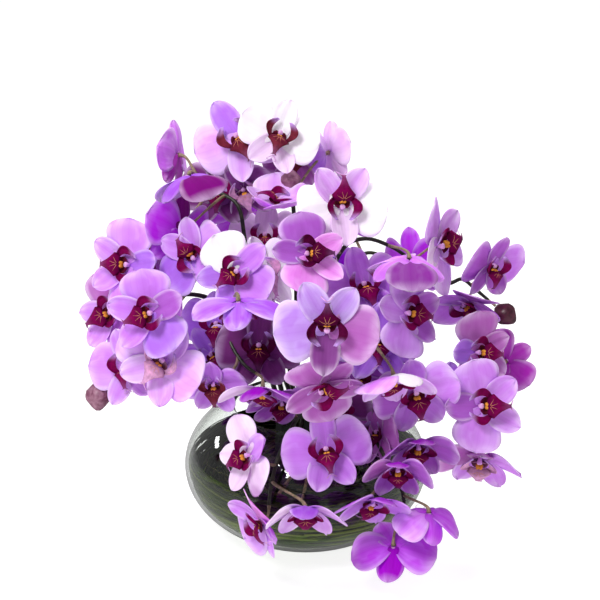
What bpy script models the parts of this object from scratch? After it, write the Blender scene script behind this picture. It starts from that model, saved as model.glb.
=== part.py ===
"""Moth-orchid arrangement in a glass bubble bowl, standing on its flat base.

Metres, +Z up, origin at the centre of the bowl's base. The display faces -Y and leans back a little, so
the stems and blooms are placed in a leaning frame: millimetres across, up and forward of its middle.
"""

import math
from collections import namedtuple

import bmesh
import bpy
from mathutils import Matrix, Vector
from mathutils.bvhtree import BVHTree

MM = 0.001

# Bowl: an oblate round, cut flat below and open on top.
BOWL_RADIUS = 0.125
BOWL_HALF_HEIGHT = 0.082
BASE_RADIUS = 0.046
MOUTH_RADIUS = 0.075
GLASS = 0.003
TURN_STEPS = 32
PROFILE_STEPS = 8

# Grass laid round the inside of the wall, up to the bowl's widest place.
GRASS_THICKNESS = 0.002
GRASS_FROM = 3
GRASS_TO = 8

# Foam block that grips the spikes.
FOAM_SIDE = 0.062
FOAM_TOP = 0.120
FOAM_EDGE = 0.006

CLEARANCE = 0.0003
HOLE_EXTRA = 0.0008

# Spikes, stalks, buds and twigs.
STEM_RADIUS = 0.0026
STEM_TIP = 0.65
STEM_DEPTH = 0.030
STEM_UPRIGHT = 0.6
STALK_RADIUS = 0.0013
STALK_RUN = 0.012
STALK_END = 0.003
STALK_SINK = 0.001
BUD_SIDES = 8
BUD_RINGS = ((0.08, 0.18), (0.32, 0.42), (0.62, 0.41), (0.88, 0.20))
TWIG_RADIUS = 0.0019
TWIG_TIP = 0.7

# How a stalk is routed: how far it leaves a bloom straight (shares of STALK_RUN), how it may bend on the
# way (shares of STALK_RUN along the stem, ahead and upwards), and the room that it keeps.
STALK_LEADS = (1.0, 1.6, 0.6, 2.4)
STALK_BENDS = (
    (0.3, 0, 0), (0.8, 0, 0), (-0.3, 0, 0), (0, 1.5, 0), (0, 2.5, 0), (0, 0, 1.5), (0, 0, -1.5),
)
STALK_ROOTS = 9
STALK_ROOM = 0.0006
STALK_OWN_ROOM = 0.0004
STALK_OWN_END = 0.004
STALK_STEP = 0.0015
STEM_STEP = 0.002
HIT_COST = 10.0

# Blooms.
PETAL_THICKNESS = 0.0012
HEART_BACK = 0.0025
SETTLE_STEP = 0.003
SETTLE_MOST = 0.075
SETTLE_ROOM = 0.0008
FLOOR_ROOM = 0.003

# The leaning frame of the display.
DISPLAY_MIDDLE = Vector((-0.006, 0.0, 0.254))
DISPLAY_LEAN = math.radians(20)

# Half of a bloom's outline, from the top sepal's tip round to the notch below the lip:
# angle in degrees, distance from the middle as a share of the span, and how far it takes up the cup.
HALF_OUTLINE = (
    (90, 0.48, 0.4),
    (73, 0.43, 0.5),
    (61, 0.31, 0.5),
    (46, 0.47, 1.0),
    (28, 0.53, 1.1),
    (2, 0.53, 1.1),
    (-18, 0.45, 0.9),
    (-34, 0.27, 0.4),
    (-44, 0.41, 0.5),
    (-58, 0.48, 0.4),
    (-74, 0.37, 0.3),
    (-90, 0.14, 0.2),
)
LIP_TIP = Vector((0.0, -0.11, 0.20))
LIP_RADIUS = 0.09

# Each spike: where it stands in the foam (x, y), the points its stem runs through, its blooms and its bud.
# A bloom is across, up, forward, turn to the right, tilt up, roll, span, cup; a joined bloom grows in one
# solid with its spike, which keeps the number of pieces down where blooms lie hidden behind others. A bud
# is across, up, forward, turn, tilt, length.
SPIKES = {
    "left_low": {
        "foot": (-22, -6),
        "stem": (
            (-38, -60, -22), (-80, -5, 0), (-120, 5, 5), (-150, -15, 8), (-168, -45, 8),
            (-180, -68, 6), (-190, -73, 4),
        ),
        "blooms": (
            (-170, 34, 12, -30, 5, -90, 88, 0.12),
            (-190, -14, -8, -38, 0, -62, 86, 0.15),
            (-143, -13, 45, -20, -5, -70, 86, 0.12),
            (-133, -60, 44, -12, -5, -38, 90, 0.15),
            (-168, -66, 16, -25, 0, 10, 84, 0.15),
        ),
        "joined": (),
        "bud": (-201, -81, 4, 0, -85, 30),
    },
    "left_high": {
        "foot": (-19, 10),
        "stem": ((-30, -50, -35), (-50, 10, -12), (-55, 60, 8), (-62, 94, 10), (-84, 110, 2), (-108, 130, -10)),
        "blooms": (
            (-106, 119, 16, -48, -102, 0, 84, 0.45),
            (-123, 146, -12, -106, 0, 0, 76, 0.15),
            (-118, 68, 0, -135, 10, 10, 84, 0.12),
            (-102, 43, 38, -30, 0, -145, 82, 0.12),
        ),
        "joined": (
            (-82, 110, -14, -12, -10, 0, 80, 0.08),
            (-56, 110, -8, 0, -30, 20, 70, 0.12),
            (-140, 48, -14, -50, 0, 20, 70, 0.12),
        ),
        "bud": None,
    },
    "top_left": {
        "foot": (-6, 5),
        "stem": (
            (-3, -50, -25), (-4, 20, -12), (-6, 83, -5), (-9, 110, 0), (-15, 128, 4),
            (-28, 150, 6), (-39, 163, 2),
        ),
        "blooms": (
            (-21, 160, 32, 10, 6, -20, 82, 0.10),
            (-23, 94, 42, 5, 60, -80, 74, 0.35),
            (-6, 141, -18, 0, -10, 0, 64, 0.10),
        ),
        "joined": (
            (30, 150, -26, 125, 10, 0, 66, 0.12),
            (-60, 160, 13, -12, 0, 34, 94, 0.06),
        ),
        "bud": (-9, 129, 18, 0, -80, 24),
    },
    "top_right": {
        "foot": (7, 8),
        "stem": ((14, -50, -20), (26, 10, 12), (42, 50, 28), (64, 60, 34), (90, 52, 30), (112, 38, 18)),
        "blooms": (
            (39, 91, 72, 15, 10, 180, 88, 0.12),
            (8, 42, 88, 20, 15, 85, 80, 0.12),
            (102, 38, 56, 10, -110, 80, 84, 0.35),
            (136, 54, 28, 60, 0, 112, 96, 0.12),
            (62, 12, 30, 15, 10, 15, 86, 0.12),
        ),
        "joined": (
            (82, -10, 26, 10, 0, 30, 76, 0.12),
        ),
        "bud": None,
    },
    "right_high": {
        "foot": (21, 6),
        "stem": (
            (35, -60, -20), (75, -10, -10), (105, 16, -8), (128, 19, -8), (150, 17, -8),
            (163, 21, -8), (175, 12, -8), (189, 0, -6),
        ),
        "blooms": (
            (190, 33, 10, 38, -26, 0, 76, 0.12),
            (165, -3, 16, -20, -58, 40, 78, 0.25),
        ),
        "joined": (),
        "bud": (196, -6, -4, 80, -40, 26),
    },
    "right_low": {
        "foot": (22, -9),
        "stem": (
            (42, -88, -14), (75, -68, 5), (105, -72, 10), (122, -75, 10), (142, -70, 8),
            (165, -75, 0), (180, -95, -10), (180, -122, -20),
        ),
        "blooms": (
            (173, -51, 22, 34, 0, 85, 80, 0.15),
            (209, -62, -22, 140, 10, 60, 66, 0.12),
            (175, -101, 55, 15, 0, 90, 88, 0.10),
            (109, -88, 75, 12, -30, 14, 86, 0.12),
            (181, -160, -8, -20, -62, -12, 92, 0.25),
        ),
        "joined": (
            (146, -88, 22, 10, -10, 0, 62, 0.12),
        ),
        "bud": None,
    },
    "front_right": {
        "foot": (13, -21),
        "stem": (
            (28, -108, -12), (50, -114, 25), (72, -134, 54), (86, -160, 70), (97, -180, 66),
            (100, -198, 58), (95, -214, 48),
        ),
        "blooms": (
            (112, -139, 66, 8, -58, 0, 84, 0.33),
            (92, -158, 86, -5, -56, 0, 74, 0.35),
            (67, -190, 88, 10, -65, -20, 78, 0.28),
            (122, -202, 58, 15, -112, 0, 74, 0.40),
            (90, -236, 38, -10, -132, 0, 84, 0.15),
        ),
        "joined": (
            (76, -129, 60, -50, -5, 0, 68, 0.15),
            (40, -104, 58, 0, -30, 0, 62, 0.12),
        ),
        "bud": None,
    },
    "front_left": {
        "foot": (-5, -22),
        "stem": (
            (5, -110, -10), (-2, -115, 25), (-12, -132, 50), (-22, -155, 66), (-28, -180, 68),
            (-30, -200, 62),
        ),
        "blooms": (
            (25, -143, 90, 0, 0, 12, 84, 0.10),
            (-49, -148, 88, -50, 0, -60, 78, 0.15),
            (5, -193, 94, 0, -68, 0, 84, 0.35),
            (-37, -210, 90, -58, -30, 42, 78, 0.20),
        ),
        "joined": (
            (-19, -99, 55, 20, -55, 0, 70, 0.15),
        ),
        "bud": None,
    },
    "centre_right": {
        "foot": (6, -7),
        "stem": (
            (10, -75, 22), (14, -55, 56), (26, -25, 82), (42, -12, 90), (56, -20, 92),
            (67, -34, 90), (74, -48, 84),
        ),
        "blooms": (
            (24, -23, 124, 0, -5, 180, 92, 0.10),
            (86, -70, 98, 30, -74, 0, 84, 0.35),
            (103, -13, 66, 40, 0, 80, 86, 0.12),
            (21, -80, 106, 20, -38, 120, 82, 0.10),
        ),
        "joined": (
            (74, -42, 50, 10, -5, 0, 84, 0.12),
            (58, -78, 34, 0, -20, 30, 74, 0.12),
        ),
        "bud": None,
    },
    "centre_left": {
        "foot": (-8, -8),
        "stem": (
            (-10, -70, 5), (-18, -25, 18), (-32, 5, 24), (-52, 8, 28), (-68, -8, 34),
            (-70, -35, 42), (-56, -60, 54), (-40, -72, 64),
        ),
        "blooms": (
            (-56, -2, 86, 0, -108, 0, 88, 0.22),
            (-61, 25, 68, -15, 0, -50, 80, 0.12),
            (-35, -83, 98, -20, -80, 0, 86, 0.25),
        ),
        "joined": (
            (-81, -25, 26, -20, -10, 0, 74, 0.12),
            (-37, 24, 44, 30, 5, 20, 82, 0.12),
            (-40, -47, 44, 0, 0, 0, 86, 0.12),
            (-83, -82, 50, -10, -35, 0, 68, 0.15),
            (-86, -55, 20, -10, -15, 30, 70, 0.12),
            (-36, 64, -42, 0, 5, 0, 74, 0.12),
        ),
        "bud": None,
    },
    "back_left": {
        "foot": (-10, 21),
        "stem": ((-20, -70, -60), (-45, -5, -80), (-68, 38, -76), (-98, 35, -78), (-120, 5, -80)),
        "blooms": (),
        "joined": (
            (-62, 92, -62, -150, 30, 0, 80, 0.12),
            (-112, 52, -98, -135, 15, 0, 80, 0.12),
            (-142, -12, -96, -120, 0, 0, 80, 0.12),
            (-52, 30, -120, -170, 10, 0, 80, 0.12),
            (-72, -35, -130, -165, -10, 0, 80, 0.12),
        ),
        "bud": None,
    },
    "back_right": {
        "foot": (9, 22),
        "stem": ((25, -70, -60), (45, 0, -78), (62, 45, -72), (88, 45, -74), (110, 20, -76)),
        "blooms": (),
        "joined": (
            (46, 92, -66, 150, 30, 0, 80, 0.12),
            (118, 40, -96, 135, 15, 0, 80, 0.12),
            (30, 25, -135, 175, 10, 0, 80, 0.12),
            (82, -35, -130, 160, -10, 0, 80, 0.12),
        ),
        "bud": None,
    },
}

# Twigs lean from the foam block's front to the grass: points in mm from the bowl's base.
TWIGS = (
    ((-12, -31.5, 76), (-18, -50, 78), (-30, -78, 73), (-46.7, -105.4, 66.5)),
    ((2, -31.5, 88), (3, -48, 92), (0, -75, 88), (-6.2, -115.2, 80)),
)

# A bloom or bud in its place: its spike, its own name if it is a separate piece, where its stalk meets it
# and which way it faces.
Head = namedtuple("Head", "spike name mesh matrix tree back outward")


def clear_scene():
    for obj in list(bpy.data.objects):
        bpy.data.objects.remove(obj, do_unlink=True)


def new_collection(name):
    made = bpy.data.collections.new(name)
    bpy.context.scene.collection.children.link(made)
    return made


def new_material(name, colour, roughness, transmission=0.0):
    made = bpy.data.materials.new(name)
    made.use_nodes = True
    shader = made.node_tree.nodes["Principled BSDF"]
    shader.inputs["Base Color"].default_value = (*colour, 1.0)
    shader.inputs["Roughness"].default_value = roughness
    shader.inputs["Transmission Weight"].default_value = transmission
    return made


def add_object(name, data, collection, material=None):
    made = bpy.data.objects.new(name, data)
    collection.objects.link(made)
    if material:
        data.materials.append(material)
    return made


def hide_helper(obj):
    obj.hide_render = True
    obj.display_type = "WIRE"


def leaning(across, up, forward):
    """A place in the display's leaning frame, in mm, as a point in the world."""
    lean = Matrix.Rotation(math.pi / 2 - DISPLAY_LEAN, 3, "X")
    return DISPLAY_MIDDLE + lean @ Vector((across, up, forward)) * MM


def facing(turn, tilt, roll):
    """The leaning frame turned to the right, tipped up and rolled about its own face, in degrees."""
    lean = Matrix.Rotation(math.pi / 2 - DISPLAY_LEAN, 4, "X")
    turned = Matrix.Rotation(math.radians(turn), 4, "Y") @ Matrix.Rotation(math.radians(-tilt), 4, "X")
    return lean @ turned @ Matrix.Rotation(math.radians(roll), 4, "Z")


def smooth_path(points, steps):
    """Catmull-Rom curve through the points, with this many steps for each span."""
    ends = [points[0] * 2 - points[1], *points, points[-1] * 2 - points[-2]]
    path = []
    for a, b, c, d in zip(ends, ends[1:], ends[2:], ends[3:]):
        for step in range(steps):
            t = step / steps
            path.append(0.5 * (2 * b + (c - a) * t + (2 * a - 5 * b + 4 * c - d) * t * t
                               + (3 * b - a - 3 * c + d) * t ** 3))
    return path + [points[-1]]


def bezier_path(a, b, c, d, steps):
    path = []
    for step in range(steps + 1):
        t = step / steps
        s = 1 - t
        path.append(a * s ** 3 + b * 3 * s * s * t + c * 3 * s * t * t + d * t ** 3)
    return path


def resampled(path, spacing):
    """Points along the path no further apart than the spacing."""
    fine = []
    for a, b in zip(path, path[1:]):
        count = max(1, math.ceil((b - a).length / spacing))
        fine += [a.lerp(b, i / count) for i in range(count)]
    return fine + [path[-1]]


def tube(name, path, radius, tip, resolution, collection, material=None):
    """A mesh tube along the path, tapering to tip times its radius, with its caps welded on."""
    curve = bpy.data.curves.new(name, "CURVE")
    curve.dimensions = "3D"
    curve.bevel_depth = radius
    curve.bevel_resolution = resolution
    curve.use_fill_caps = True
    spline = curve.splines.new("POLY")
    spline.points.add(len(path) - 1)
    for i, (point, place) in enumerate(zip(spline.points, path)):
        point.co = (*place, 1.0)
        point.radius = 1 + (tip - 1) * i / (len(path) - 1)
    guide = bpy.data.objects.new(name, curve)
    mesh = bpy.data.meshes.new_from_object(guide)
    bpy.data.objects.remove(guide)
    bpy.data.curves.remove(curve)
    shape = bmesh.new()
    shape.from_mesh(mesh)
    bmesh.ops.remove_doubles(shape, verts=shape.verts, dist=1e-5)
    bmesh.ops.recalc_face_normals(shape, faces=shape.faces)
    shape.to_mesh(mesh)
    shape.free()
    mesh.name = name
    return add_object(name, mesh, collection, material)


def loft(name, first, rings, last):
    """A closed mesh from a first point through rings of equal count to a last point."""
    shape = bmesh.new()
    start = shape.verts.new(first)
    made = [[shape.verts.new(point) for point in ring] for ring in rings]
    end = shape.verts.new(last)
    count = len(rings[0])
    for i in range(count):
        j = (i + 1) % count
        shape.faces.new((start, made[0][i], made[0][j]))
        shape.faces.new((end, made[-1][j], made[-1][i]))
        for near, far in zip(made, made[1:]):
            shape.faces.new((near[i], far[i], near[j]))
            shape.faces.new((near[j], far[i], far[j]))
    bmesh.ops.recalc_face_normals(shape, faces=shape.faces)
    mesh = bpy.data.meshes.new(name)
    shape.to_mesh(mesh)
    shape.free()
    return mesh


def turned_shell(name, profile, thickness, collection, material):
    """A shell turned about Z from an open profile that runs down its outside, thickened inwards."""
    mesh = bpy.data.meshes.new(name)
    edges = [(i, i + 1) for i in range(len(profile) - 1)]
    mesh.from_pydata([(radius, 0, height) for radius, height in profile], edges, [])
    obj = add_object(name, mesh, collection, material)
    screw = obj.modifiers.new("turn", "SCREW")
    screw.steps = screw.render_steps = TURN_STEPS
    screw.use_merge_vertices = True
    screw.merge_threshold = 0.0001
    screw.use_smooth_shade = True
    wall = obj.modifiers.new("wall", "SOLIDIFY")
    wall.thickness = thickness
    wall.offset = -1
    return obj


def bowl_arc(inset):
    """The bowl's round profile from the mouth down to the base, this far inside it."""
    height = BOWL_HALF_HEIGHT * math.sqrt(1 - (BASE_RADIUS / BOWL_RADIUS) ** 2)
    first = math.acos(MOUTH_RADIUS / BOWL_RADIUS)
    last = -math.acos(BASE_RADIUS / BOWL_RADIUS)
    angles = [first + (last - first) * i / PROFILE_STEPS for i in range(PROFILE_STEPS + 1)]
    return [
        ((BOWL_RADIUS - inset) * math.cos(a), height + (BOWL_HALF_HEIGHT - inset) * math.sin(a))
        for a in angles
    ]


def make_bowl(collection, material):
    return turned_shell("vase_bowl", bowl_arc(0) + [(0, 0)], GLASS, collection, material)


def make_grass(collection, material):
    profile = bowl_arc(GLASS + 2 * CLEARANCE)[GRASS_FROM:GRASS_TO]
    return turned_shell("grass_lining", profile, GRASS_THICKNESS, collection, material)


def make_foam(holes, collection, material):
    foot = GLASS + CLEARANCE
    height = FOAM_TOP - foot
    bpy.ops.mesh.primitive_cube_add(size=1)
    obj = bpy.context.object
    obj.name = "foam_block"
    obj.data.transform(Matrix.Diagonal((FOAM_SIDE, FOAM_SIDE, height, 1)))
    obj.location = (0, 0, foot + height / 2)
    for other in list(obj.users_collection):
        other.objects.unlink(obj)
    collection.objects.link(obj)
    obj.data.materials.append(material)
    edge = obj.modifiers.new("edge", "BEVEL")
    edge.width = FOAM_EDGE
    edge.segments = 1
    cut = obj.modifiers.new("holes", "BOOLEAN")
    cut.operation = "DIFFERENCE"
    cut.operand_type = "COLLECTION"
    cut.collection = holes
    return obj


def stem_path(spike):
    """The stem's points: straight through the foam's top, then a smooth arch."""
    above = leaning(*spike["stem"][0])
    foot = Vector((spike["foot"][0] * MM, spike["foot"][1] * MM, FOAM_TOP))
    along = (above - foot).normalized()
    along = along.lerp(Vector((0, 0, 1)), STEM_UPRIGHT).normalized()
    bottom = foot - along * STEM_DEPTH
    top = foot + along * 3 * STEM_RADIUS
    arch = smooth_path([top] + [leaning(*point) for point in spike["stem"]], 2)
    return [bottom] + arch


def bloom_mesh(name, span, cup, room=0.0):
    """One bloom facing +Z with its top sepal towards +Y: petals round a lip, with a blunt back."""
    left = [(180 - angle, reach, rise) for angle, reach, rise in HALF_OUTLINE[-2:0:-1]]
    spokes = list(HALF_OUTLINE) + left
    half = PETAL_THICKNESS / 2 + room
    fold = math.sqrt(1 - 2.2 * cup * cup)
    edge = []
    heart = []
    for angle, reach, rise in spokes:
        out = Vector((math.cos(math.radians(angle)), math.sin(math.radians(angle)), 0))
        lift = span * cup * rise
        reach *= fold
        underside = (lift + HEART_BACK) * LIP_RADIUS / reach - HEART_BACK
        edge.append(out * span * reach * (1 + room * 10) + Vector((0, 0, lift)))
        heart.append(out * span * LIP_RADIUS + Vector((0, 0, max(underside, 0) + PETAL_THICKNESS + room)))
    below = [point - Vector((0, 0, half)) for point in edge]
    above = [point + Vector((0, 0, half)) for point in edge]
    back = Vector((0, 0, -HEART_BACK - room))
    return loft(name, back, [below, above, heart], LIP_TIP * span)


def bud_mesh(name, length):
    """A plump bud along +Z, blunt at its tip."""
    rings = []
    for height, radius in BUD_RINGS:
        rings.append([
            Vector((math.cos(a) * radius, math.sin(a) * radius, height)) * length
            for a in (math.tau * i / BUD_SIDES for i in range(BUD_SIDES))
        ])
    return loft(name, Vector((0, 0, 0)), rings, Vector((0, 0, length)))


def tree_of(mesh, matrix):
    points = [matrix @ vertex.co for vertex in mesh.vertices]
    return BVHTree.FromPolygons(points, [tuple(face.vertices) for face in mesh.polygons])


def blocked(points, radius, trees):
    return any(tree.find_nearest(point, radius)[0] for tree in trees for point in points)


def head_at(spike, name, mesh, matrix, depth):
    """The bloom or bud as it stands, with its stalk meeting it this deep behind its middle."""
    outward = (matrix.to_3x3() @ Vector((0, 0, 1))).normalized()
    back = matrix.translation - outward * depth
    return Head(spike, name, mesh, matrix, tree_of(mesh, matrix), back, outward)


def joined_heads():
    """The blooms that grow in one solid with their spike."""
    heads = []
    for spike, layout in SPIKES.items():
        for across, up, forward, turn, tilt, roll, span, cup in layout["joined"]:
            mesh = bloom_mesh("joined", span * MM, cup)
            matrix = Matrix.Translation(leaning(across, up, forward)) @ facing(turn, tilt, roll)
            heads.append(head_at(spike, None, mesh, matrix, HEART_BACK))
    return heads


def settled_place(row, stems, others):
    """The bloom's place, moved forward until it clears the stems and the blooms behind it."""
    across, up, forward, turn, tilt, roll, span, cup = row
    roomy = bloom_mesh("room", span * MM, cup, SETTLE_ROOM)
    moved = 0.0
    clear = False
    while not clear and moved <= SETTLE_MOST:
        matrix = Matrix.Translation(leaning(across, up, forward + moved / MM)) @ facing(turn, tilt, roll)
        lowest = min((matrix @ vertex.co).z for vertex in roomy.vertices)
        if lowest < FLOOR_ROOM:
            matrix = Matrix.Translation((0, 0, FLOOR_ROOM - lowest)) @ matrix
        tree = tree_of(roomy, matrix)
        clear = not any(tree.overlap(other) for other in others)
        clear = clear and not blocked(stems, STEM_RADIUS + SETTLE_ROOM, [tree])
        moved += SETTLE_STEP
    bpy.data.meshes.remove(roomy)
    return matrix, tree


def settled_heads(stems, others):
    """The blooms that are pieces of their own, the deepest settled first."""
    rows = []
    for spike, layout in SPIKES.items():
        for count, row in enumerate(layout["blooms"], 1):
            rows.append((row[2], spike, count, row))
    heads = []
    others = list(others)
    for _, spike, count, row in sorted(rows):
        matrix, roomy_tree = settled_place(row, stems, others)
        others.append(roomy_tree)
        mesh = bloom_mesh(f"bloom_{spike}_{count}", row[6] * MM, row[7])
        heads.append(head_at(spike, mesh.name, mesh, matrix, HEART_BACK))
    return heads


def bud_heads():
    heads = []
    for spike, layout in SPIKES.items():
        if layout["bud"]:
            across, up, forward, turn, tilt, length = layout["bud"]
            matrix = Matrix.Translation(leaning(across, up, forward)) @ facing(turn, tilt, 0)
            mesh = bud_mesh("bud_" + spike, length * MM)
            heads.append(head_at(spike, mesh.name, mesh, matrix, 0))
    return heads


def stalk_path(head, stem, trees):
    """The stalk from the stem to a bloom's back that passes clear of everything else and is shortest."""
    tip = head.back - head.outward * (CLEARANCE if head.name else -STALK_SINK)
    own = [head.tree] if head.name else []
    rise = leaning(0, 1 / MM, 0) - DISPLAY_MIDDLE
    ahead = leaning(0, 0, 1 / MM) - DISPLAY_MIDDLE
    best = None
    for lead in STALK_LEADS:
        before = tip - head.outward * STALK_RUN * lead
        near = sorted(range(2, len(stem)), key=lambda i: (stem[i] - before).length)
        for index in near[:STALK_ROOTS]:
            root = stem[index]
            along = (stem[index] - stem[index - 1]).normalized()
            for on, forward, upward in STALK_BENDS:
                sway = (along * on + ahead * forward + rise * upward) * STALK_RUN
                bend = root.lerp(before, 0.4) + sway
                path = bezier_path(root, bend, before, tip - head.outward * STALK_END, 3) + [tip]
                fine = resampled(path, STALK_STEP)
                hits = sum(blocked([p], STALK_RADIUS + STALK_ROOM, trees) for p in fine)
                early = [p for p in fine if (p - tip).length > STALK_OWN_END]
                hits += sum(blocked([p], STALK_RADIUS + STALK_OWN_ROOM, own) for p in early)
                cost = hits * HIT_COST + sum((b - a).length for a, b in zip(path, path[1:]))
                if best is None or cost < best[0]:
                    best = (cost, path)
    return best[1]


def make_spike(name, path, heads, bowl_tree, collection, material):
    """A stem with a stalk to each of its blooms, in one solid with the blooms that have no name."""
    stem = tube("spike_" + name, path, STEM_RADIUS, STEM_TIP, 1, collection, material)
    grown = new_collection(stem.name + "_grown")
    for number, head in enumerate(heads):
        if head.spike != name:
            continue
        around = [other.tree for other in heads if other is not head] + [bowl_tree]
        hide_helper(tube(f"stalk_{name}_{number}", stalk_path(head, path, around), STALK_RADIUS, 1, 0, grown))
        if not head.name:
            joined = add_object(f"joined_{name}_{number}", head.mesh, grown)
            joined.matrix_world = head.matrix
            hide_helper(joined)
    union = stem.modifiers.new("grow", "BOOLEAN")
    union.operation = "UNION"
    union.operand_type = "COLLECTION"
    union.collection = grown


def make_holes(stems, collection):
    """A cutter round each stem's foot, a little wider and deeper than the stem."""
    for name, path in stems.items():
        below = path[0] - (path[1] - path[0]).normalized() * CLEARANCE
        hide_helper(tube(name + "_hole", [below, path[1]], STEM_RADIUS + HOLE_EXTRA, 1, 1, collection))


def main():
    clear_scene()
    parts = new_collection("orchid_arrangement")
    holes = new_collection("foam_holes")
    glass = new_material("glass", (0.86, 0.93, 0.88), 0.03, 0.95)
    grass = new_material("grass", (0.10, 0.14, 0.05), 0.5)
    foam = new_material("foam", (0.03, 0.05, 0.03), 0.9)
    green = new_material("stem", (0.04, 0.05, 0.02), 0.45)
    petal = new_material("petal", (0.50, 0.22, 0.75), 0.5)
    bark = new_material("bark", (0.30, 0.18, 0.11), 0.8)
    maroon = new_material("bud", (0.12, 0.03, 0.07), 0.5)

    stems = {name: stem_path(spike) for name, spike in SPIKES.items()}
    make_holes(stems, holes)
    bowl = make_bowl(parts, glass)
    make_grass(parts, grass)
    make_foam(holes, parts, foam)
    bpy.context.view_layer.update()
    bowl_tree = BVHTree.FromObject(bowl, bpy.context.evaluated_depsgraph_get())

    fine_stems = [point for path in stems.values() for point in resampled(path, STEM_STEP)]
    joined = joined_heads()
    settled = settled_heads(fine_stems, [bowl_tree] + [head.tree for head in joined])
    buds = bud_heads()
    heads = joined + settled + buds
    for name, path in stems.items():
        make_spike(name, path, heads, bowl_tree, parts, green)
    for head in settled:
        add_object(head.name, head.mesh, parts, petal).matrix_world = head.matrix
    for head in buds:
        add_object(head.name, head.mesh, parts, maroon).matrix_world = head.matrix

    for count, points in enumerate(TWIGS, 1):
        path = smooth_path([Vector(point) * MM for point in points], 3)
        tube(f"twig_{count}", path, TWIG_RADIUS, TWIG_TIP, 1, parts, bark)


main()
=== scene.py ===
import math
import random

import bpy
import numpy as np
from mathutils import Matrix, Vector
from mathutils.bvhtree import BVHTree


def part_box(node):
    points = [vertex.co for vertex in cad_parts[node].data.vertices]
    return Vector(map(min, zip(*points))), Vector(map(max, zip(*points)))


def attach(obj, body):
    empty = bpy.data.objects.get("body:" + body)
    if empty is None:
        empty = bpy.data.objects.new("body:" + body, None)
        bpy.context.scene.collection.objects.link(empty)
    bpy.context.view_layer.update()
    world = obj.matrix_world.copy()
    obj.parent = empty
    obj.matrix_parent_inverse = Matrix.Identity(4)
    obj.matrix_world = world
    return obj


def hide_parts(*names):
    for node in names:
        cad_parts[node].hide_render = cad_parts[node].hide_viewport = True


# Orchid arrangement in a glass bubble bowl: moth-orchid spikes, blooms, buds, coiled grass and twigs.
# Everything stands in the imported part's frame, in metres. The layout's places are millimetres across, up
# and forward in a frame that leans back with the display.

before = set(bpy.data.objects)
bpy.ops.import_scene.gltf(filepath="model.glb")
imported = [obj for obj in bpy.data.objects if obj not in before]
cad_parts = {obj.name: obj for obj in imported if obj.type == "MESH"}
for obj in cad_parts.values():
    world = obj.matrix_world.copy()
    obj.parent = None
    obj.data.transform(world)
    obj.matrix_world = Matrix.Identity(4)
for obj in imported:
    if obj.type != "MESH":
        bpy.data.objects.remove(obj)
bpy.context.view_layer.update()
print("frame loaded:", len(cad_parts), "nodes")

millimetre = 0.001
displayMiddle = Vector((-0.006, 0.0, 0.254))
displayLean = math.radians(20)


def linear(hexColour):  # sRGB hex to linear, opaque
    parts = [int(hexColour[i:i + 2], 16) / 255 for i in (1, 3, 5)]
    return tuple(c / 12.92 if c <= 0.04045 else ((c + 0.055) / 1.055) ** 2.4 for c in parts) + (1.0,)


def addNode(owner, kind, settings=(), links=()):
    # settings name sockets or properties, links go from (node, output) to this node's inputs
    node = owner.node_tree.nodes.new(kind)
    for name, value in dict(settings).items():
        if isinstance(name, str) and hasattr(node, name):
            setattr(node, name, value)
        else:
            node.inputs[name].default_value = value
    for socket, (source, output) in dict(links).items():
        owner.node_tree.links.new(source.outputs[output], node.inputs[socket])
    return node


def startMaterial(name, settings):
    # a new material with its Principled BSDF set, and the node itself
    material = bpy.data.materials.new(name)
    material.use_nodes = True
    surface = material.node_tree.nodes["Principled BSDF"]
    for socket, value in settings.items():
        surface.inputs[socket].default_value = value
    return material, surface


def wire(owner, source, output, target, socket):
    owner.node_tree.links.new(source.outputs[output], target.inputs[socket])


petalFinish = {
    "roughness": 0.6,
    "specular": 0.12,
    "sheen": 0.05,
    "veinsAcross": 26,      # branching veins lie about 2 mm apart on a 45 mm petal
    "veinDepth": 0.10,
    "grainScale": 900,      # cell pattern, about 1 mm
    "blotchScale": 45,      # soft clouds of colour, about 20 mm
    "glow": 0.18,
    "rim": "#F3DDFB",
    "rimShare": 0.45,       # how far the rim, the midline, the base and the clouds change the tint
    "midlineShare": 0.45,
    "baseShare": 0.55,
    "cloudShare": 0.55,
    "richness": 1.07,
    "brightness": 1.04,
}


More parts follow.
